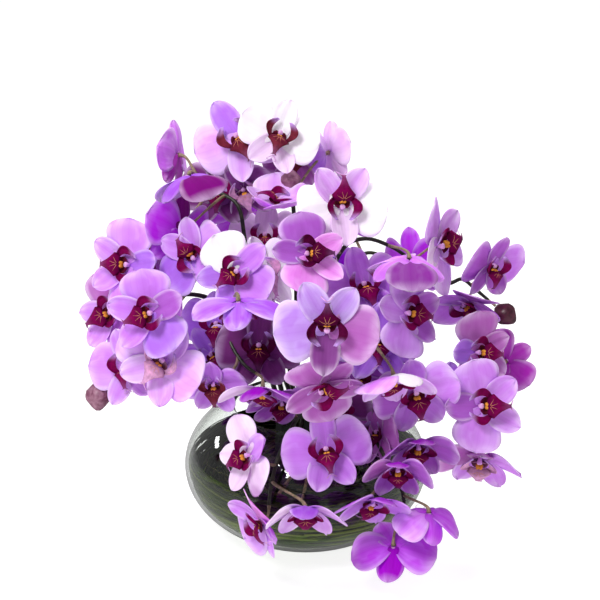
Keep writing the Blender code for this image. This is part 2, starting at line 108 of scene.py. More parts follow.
def petalMaterial(name, paler):
    # fresh orchid petal: thin waxy tissue, matt with a soft sheen, light bleeding through it
    material, surface = startMaterial(name, {
        "Roughness": petalFinish["roughness"],
        "Subsurface Weight": petalFinish["glow"],
        "Subsurface Radius": (1.0, 0.6, 1.0),
        "Subsurface Scale": 0.004,
        "Sheen Weight": petalFinish["sheen"],
        "Sheen Roughness": 0.4,
        "Specular IOR Level": petalFinish["specular"],
    })
    tint = addNode(material, "ShaderNodeAttribute", {"attribute_name": "tint"})
    where = addNode(material, "ShaderNodeAttribute", {"attribute_name": "where"})
    parts = addNode(material, "ShaderNodeSeparateXYZ", {}, {"Vector": (where, "Vector")})
    place = addNode(material, "ShaderNodeTexCoord")
    cloud = addNode(material, "ShaderNodeTexNoise", {"Scale": petalFinish["blotchScale"], "Detail": 2},
                    {"Vector": (place, "Object")})
    cloudy = addNode(material, "ShaderNodeMapRange",
                     {"From Min": 0.3, "From Max": 0.7, "To Min": 0.9, "To Max": 1.08},
                     {"Value": (cloud, "Fac")})
    clouded = addNode(material, "ShaderNodeHueSaturation", {},
                      {"Color": (tint, "Color"), "Value": (cloudy, "Result")})
    # paler rim and tip
    across = addNode(material, "ShaderNodeMath", {"operation": "ABSOLUTE"}, {0: (parts, "Y")})
    rim = addNode(material, "ShaderNodeMath", {"operation": "MAXIMUM"},
                  {0: (across, "Value"), 1: (parts, "X")})
    rimShare = addNode(material, "ShaderNodeMapRange",
                       {"interpolation_type": "SMOOTHSTEP", "From Min": 0.7, "From Max": 1.0,
                        "To Max": petalFinish["rimShare"]}, {"Value": (rim, "Value")})
    rimmed = addNode(material, "ShaderNodeMix", {"data_type": "RGBA"},
                     {"Factor": (rimShare, "Result"), 6: (clouded, "Color")})
    rimmed.inputs[7].default_value = linear(petalFinish["rim"])
    # deeper along the midline, at the base and in some of the clouds: the petal's own deeper colour, with
    # painted shade in the midline crease
    midline = addNode(material, "ShaderNodeMapRange",
                      {"interpolation_type": "SMOOTHSTEP", "From Max": 0.6,
                       "To Min": petalFinish["midlineShare"], "To Max": 0.0}, {"Value": (across, "Value")})
    base = addNode(material, "ShaderNodeMapRange",
                   {"interpolation_type": "SMOOTHSTEP", "From Max": 0.5,
                    "To Min": petalFinish["baseShare"], "To Max": 0.0}, {"Value": (parts, "X")})
    lined = addNode(material, "ShaderNodeMath", {"operation": "MAXIMUM"},
                    {0: (midline, "Result"), 1: (base, "Result")})
    flush = addNode(material, "ShaderNodeMapRange",
                    {"interpolation_type": "SMOOTHSTEP", "From Min": 0.45, "From Max": 0.68,
                     "To Max": petalFinish["cloudShare"]}, {"Value": (cloud, "Fac")})
    deep = addNode(material, "ShaderNodeMath", {"operation": "MAXIMUM"},
                   {0: (lined, "Value"), 1: (flush, "Result")})
    # the deeper colour leans to magenta: partly the petal's own colour, partly the hue of painted shade
    deepTintAndShade = addNode(material, "ShaderNodeHueSaturation", {"Hue": 0.508, "Saturation": 1.6, "Value": 0.74},
                       {"Color": (tint, "Color")})
    mixed = addNode(material, "ShaderNodeMix", {"data_type": "RGBA"},
                    {"Factor": (deep, "Value"), 6: (rimmed, 2), 7: (deepTintAndShade, "Color")})
    # fine veins that fan out along the petal
    veins = addNode(material, "ShaderNodeMath", {"operation": "MULTIPLY", 1: petalFinish["veinsAcross"]},
                    {0: (parts, "Y")})
    wobble = addNode(material, "ShaderNodeMath", {"operation": "ADD"},
                     {0: (veins, "Value"), 1: (cloud, "Fac")})
    ridge = addNode(material, "ShaderNodeMath", {"operation": "SINE"}, {0: (wobble, "Value")})
    veinShare = addNode(material, "ShaderNodeMapRange",
                        {"From Min": 0.55, "From Max": 1.0, "To Max": petalFinish["veinDepth"]},
                        {"Value": (ridge, "Value")})
    veined = addNode(material, "ShaderNodeMix", {"data_type": "RGBA"},
                     {"Factor": (veinShare, "Result"), 6: (mixed, 2), 7: (deepTintAndShade, "Color")})
    final = addNode(material, "ShaderNodeHueSaturation",
                    {"Saturation": petalFinish["richness"] - paler,
                     "Value": petalFinish["brightness"] + paler * 0.3}, {"Color": (veined, 2)})
    wire(material, final, "Color", surface, "Base Color")
    grain = addNode(material, "ShaderNodeTexNoise", {"Scale": petalFinish["grainScale"], "Detail": 1},
                    {"Vector": (place, "Object")})
    height = addNode(material, "ShaderNodeMath", {"operation": "MULTIPLY_ADD", 1: 0.35},
                     {0: (grain, "Fac"), 2: (ridge, "Value")})
    bump = addNode(material, "ShaderNodeBump", {"Strength": 0.12, "Distance": 0.0004},
                   {"Height": (height, "Value")})
    wire(material, bump, "Normal", surface, "Normal")
    return material


def lipMaterial():
    # velvety lip tissue: darker and softer than the petals, its colour running from burgundy to near black
    material, surface = startMaterial("lip_velvet", {
        "Roughness": 0.7,
        "Specular IOR Level": 0.05,
        "Subsurface Weight": 0.05,
        "Subsurface Scale": 0.002,
    })
    tint = addNode(material, "ShaderNodeAttribute", {"attribute_name": "tint"})
    place = addNode(material, "ShaderNodeTexCoord")
    mottle = addNode(material, "ShaderNodeTexNoise", {"Scale": 260, "Detail": 3},  # patches of about 4 mm
                     {"Vector": (place, "Object")})
    shade = addNode(material, "ShaderNodeMapRange",
                    {"From Min": 0.3, "From Max": 0.7, "To Min": 0.7, "To Max": 1.2},
                    {"Value": (mottle, "Fac")})
    coloured = addNode(material, "ShaderNodeHueSaturation", {},
                       {"Color": (tint, "Color"), "Value": (shade, "Result")})
    wire(material, coloured, "Color", surface, "Base Color")
    bump = addNode(material, "ShaderNodeBump", {"Strength": 0.2, "Distance": 0.0006},
                   {"Height": (mottle, "Fac")})
    wire(material, bump, "Normal", surface, "Normal")
    return material


petalFront = petalMaterial("orchid_petal_front", 0.0)
petalBack = petalMaterial("orchid_petal_back", 0.22)
lipVelvet = lipMaterial()


def plantMaterial(name, dark, light, scale, roughness, bumpHeight):
    # skin of a stem, stalk, bud or twig: two colours mottled together, with a fine relief to match
    material, surface = startMaterial(name, {"Roughness": roughness})
    place = addNode(material, "ShaderNodeTexCoord")
    mottle = addNode(material, "ShaderNodeTexNoise", {"Scale": scale, "Detail": 4, "Distortion": 0.4},
                     {"Vector": (place, "Object")})
    ramp = addNode(material, "ShaderNodeMapRange", {"From Min": 0.35, "From Max": 0.65},
                   {"Value": (mottle, "Fac")})
    mixed = addNode(material, "ShaderNodeMix", {"data_type": "RGBA"}, {"Factor": (ramp, "Result")})
    mixed.inputs[6].default_value = linear(dark)
    mixed.inputs[7].default_value = linear(light)
    wire(material, mixed, 2, surface, "Base Color")
    bump = addNode(material, "ShaderNodeBump", {"Strength": 0.5, "Distance": bumpHeight},
                   {"Height": (mottle, "Fac")})
    wire(material, bump, "Normal", surface, "Normal")
    return material


# two colours, noise scale (1000 gives mottles of about 1 mm), roughness, and relief in metres
stemSkin = plantMaterial("orchid_stem_skin", "#1C1E14", "#3A3C26", 240, 0.42, 0.0004)  # waxy, near black
stalkSkin = plantMaterial("flower_stalk_skin", "#6F6A45", "#A88C74", 300, 0.45, 0.0003)  # waxy, tan
budSkin = plantMaterial("orchid_bud_skin", "#6D3450", "#A4748A", 160, 0.45, 0.0003)  # dusty mauve
budDark = plantMaterial("dark_bud_skin", "#3A0A20", "#5E2038", 160, 0.4, 0.0003)  # deep maroon
twigBark = plantMaterial("dry_twig_bark", "#5E4630", "#A08060", 400, 0.75, 0.0006)  # rough and matt
foamWet = plantMaterial("wet_floral_foam", "#0C130B", "#1C2A17", 900, 0.95, 0.0008)  # soaked, dark, matt


def glassMaterial():
    # clear soda glass, blown: colourless through the wall, faintly green where it is thick
    material, surface = startMaterial("blown_soda_glass", {
        "Base Color": linear("#FAFDFA"),
        "Roughness": 0.0,
        "IOR": 1.5,
        "Transmission Weight": 1.0,
    })
    return material


def grassMaterial():
    # long grass blades under glass: olive, each blade its own shade, with lighter lengthwise ribs
    material, surface = startMaterial("bear_grass_blade", {"Roughness": 0.55, "Specular IOR Level": 0.08})
    tint = addNode(material, "ShaderNodeAttribute", {"attribute_name": "tint"})
    where = addNode(material, "ShaderNodeAttribute", {"attribute_name": "where"})
    parts = addNode(material, "ShaderNodeSeparateXYZ", {}, {"Vector": (where, "Vector")})
    ribs = addNode(material, "ShaderNodeMath", {"operation": "MULTIPLY", 1: 14.0}, {0: (parts, "Y")})
    wave = addNode(material, "ShaderNodeMath", {"operation": "SINE"}, {0: (ribs, "Value")})
    shade = addNode(material, "ShaderNodeMapRange", {"From Min": -1.0, "To Min": 0.75, "To Max": 1.15},
                    {"Value": (wave, "Value")})
    coloured = addNode(material, "ShaderNodeHueSaturation", {"Saturation": 1.35},
                       {"Color": (tint, "Color"), "Value": (shade, "Result")})
    wire(material, coloured, "Color", surface, "Base Color")
    return material


bowlGlass = glassMaterial()
grassBlade = grassMaterial()
print("materials made")


def leaning(across, up, forward):
    # a place in the leaning frame, given in millimetres
    lean = Matrix.Rotation(math.pi / 2 - displayLean, 3, "X")
    return displayMiddle + lean @ Vector((across, up, forward)) * millimetre


def facing(turn, tilt, roll):
    # the attitude of a bloom or bud that faces forward, then turned right, tilted up and rolled, in degrees
    lean = Matrix.Rotation(math.pi / 2 - displayLean, 4, "X")
    turned = Matrix.Rotation(math.radians(turn), 4, "Y") @ Matrix.Rotation(math.radians(-tilt), 4, "X")
    return lean @ turned @ Matrix.Rotation(math.radians(roll), 4, "Z")


def smoothPath(points, steps):
    # a smooth curve through all the points
    ends = [points[0] * 2 - points[1], *points, points[-1] * 2 - points[-2]]
    path = []
    for a, b, c, d in zip(ends, ends[1:], ends[2:], ends[3:]):
        for step in range(steps):
            t = step / steps
            path.append(0.5 * (2 * b + (c - a) * t + (2 * a - 5 * b + 4 * c - d) * t * t
                               + (3 * b - a - 3 * c + d) * t ** 3))
    return path + [points[-1]]


def makePiece(name, vertices, faces, materials, slots=None, colours=None, where=None):
    mesh = bpy.data.meshes.new(name)
    mesh.from_pydata([tuple(v) for v in vertices], [], [tuple(f) for f in faces])
    for material in materials:
        mesh.materials.append(material)
    if slots is not None:
        mesh.polygons.foreach_set("material_index", slots)
    if colours is not None:
        tint = mesh.attributes.new("tint", "FLOAT_COLOR", "POINT")
        tint.data.foreach_set("color", np.asarray(colours, np.float32).ravel())
    if where is not None:
        place = mesh.attributes.new("where", "FLOAT_VECTOR", "POINT")
        place.data.foreach_set("vector", np.asarray(where, np.float32).ravel())
    mesh.shade_smooth()
    mesh.update()
    piece = bpy.data.objects.new(name, mesh)
    bpy.context.scene.collection.objects.link(piece)
    return piece


def gridFaces(rows, columns, start):
    faces = []
    for i in range(rows - 1):
        for j in range(columns - 1):
            a = start + i * columns + j
            faces.append((a, a + 1, a + columns + 1, a + columns))
    return faces


def tubeFaces(rings, sides):
    # the skin of a closed tube whose rings of points follow one another
    faces = []
    for i in range(rings - 1):
        for k in range(sides):
            a, b = i * sides + k, i * sides + (k + 1) % sides
            faces.append((a, b, b + sides, a + sides))
    faces.append(tuple(range(sides - 1, -1, -1)))
    last = (rings - 1) * sides
    faces.append(tuple(range(last, last + sides)))
    return faces


def sweep(path, radii, sides):
    # a closed tube along the path: vertices and faces
    vertices = []
    side = None
    for i, point in enumerate(path):
        ahead = (path[min(i + 1, len(path) - 1)] - path[max(i - 1, 0)]).normalized()
        if side is None:
            side = ahead.orthogonal().normalized()
        side = (side - ahead * side.dot(ahead)).normalized()
        other = ahead.cross(side)
        for k in range(sides):
            a = math.tau * k / sides
            vertices.append(point + (side * math.cos(a) + other * math.sin(a)) * radii[i])
    return vertices, tubeFaces(len(path), sides)


def append(store, vertices, faces, colour, slot=0):
    # adds one part's mesh to the store, in one colour
    start = len(store["vertices"])
    store["vertices"] += [Vector(v) for v in vertices]
    store["faces"] += [tuple(start + i for i in f) for f in faces]
    store["slots"] += [slot] * len(faces)
    store["colours"] += [colour] * len(vertices)
    store["where"] += [(0.5, 0, 0)] * len(vertices)


def newStore():
    # what a mesh is gathered in before it is made
    return {"vertices": [], "faces": [], "slots": [], "colours": [], "where": []}


def paintedPiece(name, store, materials):
    return makePiece(name, store["vertices"], store["faces"], materials,
                     colours=store["colours"], where=store["where"])


def thicken(piece, thickness):
    skin = piece.modifiers.new("thickness", "SOLIDIFY")
    skin.thickness = thickness
    skin.offset = 0
    return skin


tints = {  # petal colours, from white to deep magenta: partly the blooms' own colours, partly painted light and shade, the palest standing for brightly lit petals and the darkest for shaded ones
    "white": "#FCF2FE",
    "blush": "#F4D0FB",
    "pale": "#E0A7F9",
    "lavender": "#CF81F4",
    "lilac": "#C165EC",
    "violet": "#A54DE8",
    "cool": "#B88AE6",
    "purple": "#A734C9",
    "pink": "#EB85ED",
    "mauve": "#B158B8",
    "dusk": "#8B5499",
    "shade": "#7B2285",
    "magenta": "#70076E",
}

bloomShape = {  # lengths are shares of the bloom's span, unless in metres
    "along": 15,            # rows of points along a petal
    "acrossHalf": 6,        # columns on each side of its midline
    "thickness": 0.0006,    # metres
    "dorsal": {"length": 0.47, "half": 0.155, "curl": 0.25, "crossCurl": 0.10, "start": 0.02},
    "petal": {"length": 0.50, "half": 0.300, "curl": 0.15, "crossCurl": -0.08, "start": 0.015},
    "lateral": {"length": 0.46, "half": 0.150, "curl": 0.20, "crossCurl": 0.12, "start": 0.02},
    "petalAngle": 12,
    "lateralAngle": -57,
    "angleSpread": 5,
    "flatCup": 0.07,        # the solids' cup at which the petals lie flat
    "cupCurl": 2.8,
    "cupCross": 0.35,
    "lengthSpread": (0.96, 1.03),
    "widthSpread": (0.95, 1.05),
    "curlSpread": (0.2, 1.4),
    "crossSpread": (0.4, 1.8),
    "ruffle": 0.018,
    "ruffleSpread": (0.2, 1.0),
    "ruffleWaves": (1.2, 2.2),
    "skew": 0.05,
    "twist": 0.25,          # radians
    "midrib": 0.012,        # depth of the groove along the middle
    "midribHalf": 0.16,     # its half width, as a share of the petal's
    "shadeSpread": (0.92, 1.05),
    "sepalShade": 0.94,
}


def widthAlong(kind, u):
    # half width along a petal or sepal; the divisors bring each curve's peak to 1
    if kind == "petal":
        w = (u + 0.03) ** 0.7 * np.sqrt(np.clip(1 - u ** 2.6, 0, 1))
        return w / 0.627
    w = (u + 0.12) ** 0.5 * np.clip(1 - u ** 2.2, 0, 1) ** 0.6
    return w / 0.682


def tepal(kind, span, angle, cup, rng, lift):
    # one petal or sepal as a bent sheet: points, and where each lies on it
    shape = bloomShape[kind]
    rows, half = bloomShape["along"], bloomShape["acrossHalf"]
    t = np.linspace(0, 1, rows)
    u = 1 - (1 - t) ** 1.5
    v = np.linspace(-1, 1, 2 * half + 1)
    length = shape["length"] * span * rng.uniform(*bloomShape["lengthSpread"])
    wide = shape["half"] * span * rng.uniform(*bloomShape["widthSpread"])
    curl = shape["curl"] * rng.uniform(*bloomShape["curlSpread"]) + cup * bloomShape["cupCurl"]
    bend = curl * u
    x = np.concatenate([[0], np.cumsum(np.cos((bend[1:] + bend[:-1]) / 2) * np.diff(u))]) * length
    z = np.concatenate([[0], np.cumsum(np.sin((bend[1:] + bend[:-1]) / 2) * np.diff(u))]) * length
    w = widthAlong(kind, u) * wide
    crossCurl = shape["crossCurl"] * rng.uniform(*bloomShape["crossSpread"]) + cup * bloomShape["cupCross"]
    ruffle = rng.uniform(*bloomShape["ruffleSpread"]) * bloomShape["ruffle"] * span
    phase = rng.uniform(0, math.tau)
    wave = rng.uniform(*bloomShape["ruffleWaves"])
    skew = rng.uniform(-bloomShape["skew"], bloomShape["skew"]) * length
    twist = rng.uniform(-bloomShape["twist"], bloomShape["twist"])
    radial = np.array([math.cos(angle), math.sin(angle), 0])
    side = np.array([-math.sin(angle), math.cos(angle), 0])
    points, where = [], []
    for i in range(rows):
        tilt = twist * u[i]
        for j, vv in enumerate(v):
            y = w[i] * vv + skew * u[i] ** 2
            rise = z[i] + crossCurl * w[i] * vv * vv * 1.4
            rise += ruffle * math.sin(wave * math.pi * vv + phase) * u[i] ** 2
            rise += math.sin(tilt) * w[i] * vv
            groove = math.exp(-(vv / bloomShape["midribHalf"]) ** 2) * math.sin(math.pi * min(1, u[i] * 1.1))
            rise -= bloomShape["midrib"] * span * groove
            back = 0.06 * w[i] * vv * vv
            reach = x[i] - back + shape["start"] * span
            points.append(radial * reach + side * y + np.array([0, 0, rise + lift]))
            where.append((u[i], vv, 0))
    return points, where


def bloomPetals(name, row, rng):
    # the five petals and sepals of one bloom, the back ones first
    span, cup = row["span"] * millimetre, row["cup"]
    store = newStore()
    columns = 2 * bloomShape["acrossHalf"] + 1
    rows = bloomShape["along"]
    order = [  # part, kind, angle, and lift as a share of the span
        ("lateral", "lateral", 180 - bloomShape["lateralAngle"], -0.010),
        ("lateral", "lateral", bloomShape["lateralAngle"], -0.010),
        ("dorsal", "dorsal", 90, -0.006),
        ("left", "petal", 180 - bloomShape["petalAngle"], 0.006),
        ("right", "petal", bloomShape["petalAngle"], 0.008),
    ]
    for part, kind, angle, lift in order:
        angle = math.radians(angle + rng.uniform(-bloomShape["angleSpread"], bloomShape["angleSpread"]))
        points, where = tepal(kind, span, angle, max(cup - bloomShape["flatCup"], 0), rng, lift * span)
        start = len(store["vertices"])
        store["vertices"] += points
        store["faces"] += gridFaces(rows, columns, start)
        shade = np.array(linear(tints[row.get(part, row["tint"])]))
        dimming = 1.0 if kind == "petal" else bloomShape["sepalShade"]
        shade[:3] *= rng.uniform(*bloomShape["shadeSpread"]) * dimming
        store["colours"] += [tuple(shade)] * len(points)
        store["where"] += where
    piece = paintedPiece(name, store, [petalFront, petalBack])
    thicken(piece, bloomShape["thickness"]).material_offset = 1
    return piece


lipShape = {  # lengths are shares of the bloom's span, unless in metres
    "midLength": 0.265,
    "midHalf": 0.136,
    "midBow": 0.30,
    "sideHalf": 0.052,
    "sideBow": 0.35,
    "throatHalf": 0.095,
    "throatBow": 0.2,
    "thickness": 0.0008,    # metres
    "columnLength": 0.09,
    "columnRadius": 0.030,
    "callusLength": 0.070,
    "callusRadius": 0.025,
    "rays": ((22, 0.070), (64, 0.075)),     # angle from the middle, and length
    "rayRadius": 0.0030,
    "tendril": 0.0004,      # radius in metres
    "burgundy": "#720046",
    "dark": "#4C0030",
    "brown": "#6C2232",
    "rose": "#D49AC4",
    "orange": "#E0963C",
    "ray": "#C88262",
    "cream": "#DDA6DE",
    "violet": "#C79BE6",
    "throat": "#5A1A22",
}


def lipSheet(store, centre, wide, profile, bow, colours, rows=14, half=4):
    # a lobe of the lip: a sheet round a centre line, its colour running through the list from base to tip
    vertices, shades = [], []
    for i in range(rows):
        t = i / (rows - 1)
        point, across, out = centre(t)
        w = wide * profile(t)
        for j in range(-half, half + 1):
            v = j / half
            vertices.append(point + across * w * v + out * bow * w * (1 - v * v))
            step = min(t, 0.999) * (len(colours) - 1)
            a, b = colours[int(step)], colours[int(step) + 1]
            shades.append(tuple(x + (y - x) * (step % 1) for x, y in zip(a, b)))
    start = len(store["vertices"])
    store["vertices"] += vertices
    store["faces"] += gridFaces(rows, 2 * half + 1, start)
    store["colours"] += shades
    store["where"] += [(0, 0, 0)] * len(vertices)


def lipMesh(name, row, rng):
    # the lip's lobes as one thin sheet, and its column, callus, rays and tendrils as a second piece
    span = row["span"] * millimetre
    store = newStore()
    deep = linear(lipShape[row.get("lip", "burgundy")])
    nearBlack, violet = linear(lipShape["dark"]), linear(lipShape["violet"])
    shadow = tuple(0.5 * (a + b) for a, b in zip(deep, nearBlack))
    bright = tuple(0.85 * a + 0.15 * b for a, b in zip(deep, violet))

    # middle lobe: a broad diamond that runs forward and down to a narrow, hooked tip
    drop = rng.uniform(0.8, 1.05)

    def middle(t):
        bend = 0.35 + 0.5 * t
        point = Vector((0, -0.02 - lipShape["midLength"] * t * drop, 0.085 + 0.09 * math.sin(t * 2.2))) * span
        return point, Vector((1, 0, 0)), Vector((0, math.sin(bend), math.cos(bend)))

    def diamond(t):
        return np.interp(t, [0, 0.08, 0.22, 0.34, 0.5, 0.66, 0.82, 0.93, 1.0],
                         [0.6, 0.85, 1.0, 0.72, 0.44, 0.28, 0.17, 0.14, 0.28])

    lipSheet(store, middle, lipShape["midHalf"] * span, diamond, lipShape["midBow"], [shadow, deep, bright])

    # side lobes: two broad crescents that stand up on either side of the column, pale at their upper ends
    for s in (-1, 1):
        def crescent(t, s=s):
            bulge = math.sin(math.pi * (0.15 + 0.75 * t))
            point = Vector((s * (0.035 + 0.120 * bulge), -0.060 + 0.25 * t, 0.07 + 0.06 * bulge)) * span
            return point, Vector((s * 0.8, 0.1, 0.6)).normalized(), Vector((s, 0, -0.8)).normalized()

        def blade(t):
            return math.sin(math.pi * min(0.97, 0.12 + 0.86 * t)) ** 0.5

        lipSheet(store, crescent, lipShape["sideHalf"] * span, blade, lipShape["sideBow"],
                 [shadow, deep, deep, violet])

    # throat: the dark cup behind the callus
    def throat(t):
        point = Vector((0, 0.05 - 0.14 * t, 0.035 + 0.03 * math.cos(math.pi * t) ** 2)) * span
        return point, Vector((1, 0, 0)), Vector((0, 0, -1))

    def oval(t):
        return math.sin(math.pi * (0.1 + 0.8 * t)) ** 0.5

    lipSheet(store, throat, lipShape["throatHalf"] * span, oval, lipShape["throatBow"],
             [shadow, linear(lipShape["throat"]), shadow], rows=8)

    sheet = paintedPiece(name, store, [lipVelvet])
    thicken(sheet, lipShape["thickness"])

    # column, callus and the two tendrils at the lip's tip
    solid = newStore()
    cream, orange, ray = (linear(lipShape[k]) for k in ("cream", "orange", "ray"))
    length, radius = lipShape["columnLength"] * span, lipShape["columnRadius"] * span
    path = [Vector((0, 0.030 * span + 0.012 * span * math.sin(t * 3), -0.01 * span + length * t))
            for t in (0, 0.2, 0.45, 0.7, 0.86, 0.96, 1.0)]
    radii = [radius * k for k in (0.75, 0.7, 0.78, 1.0, 1.05, 0.8, 0.25)]
    vertices, faces = sweep(path, radii, 12)
    append(solid, vertices, faces, cream)
    for s in (-1, 1):
        path = [Vector((s * 0.016 * span, -0.020 * span, 0.05 * span + lipShape["callusLength"] * span * t))
                for t in (0, 0.35, 0.7, 0.9, 1.0)]
        radii = [lipShape["callusRadius"] * span * k for k in (0.9, 1.0, 0.95, 0.7, 0.2)]
        vertices, faces = sweep(path, radii, 8)
        append(solid, vertices, faces, orange)
        for angle, long in lipShape["rays"]:  # raised pale lines that fan out from the callus
            a = math.radians(angle)
            path = []
            for k in range(6):
                far = 0.012 + long * k / 5
                t = min(1.0, (0.020 + far * math.cos(a)) / lipShape["midLength"] / drop)
                point, side, out = middle(t)
                half = lipShape["midHalf"] * diamond(t)
                aside = min(far * math.sin(a), 0.85 * half)
                rise = lipShape["midBow"] * half * (1 - (aside / half) ** 2) + 0.004
                path.append(point + (side * s * aside + out * rise) * span)
            vertices, faces = sweep(path, [lipShape["rayRadius"] * span * (1.2 - k / 6) for k in range(6)], 5)
            append(solid, vertices, faces, ray)
    tip, _, _ = middle(1.0)
    for s in (-1, 1):
        path = []
        for k in range(9):
            t = k / 8
            away = Vector((s * 0.06 * math.sin(t * 2.6), -0.05 * math.sin(t * 2.2), -0.02 - 0.09 * t))
            path.append(tip + away * span)
        vertices, faces = sweep(path, [lipShape["tendril"] * (1.2 - 0.8 * k / 8) for k in range(9)], 5)
        append(solid, vertices, faces, cream)
    return sheet, paintedPiece(name + "_heart", solid, [lipVelvet])


print("bloom tools ready")


def place(piece, matrix, *nodes):
    # stands a piece in the part and rides it on the only body
    piece.matrix_world = matrix
    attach(piece, "root")
    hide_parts(*nodes)
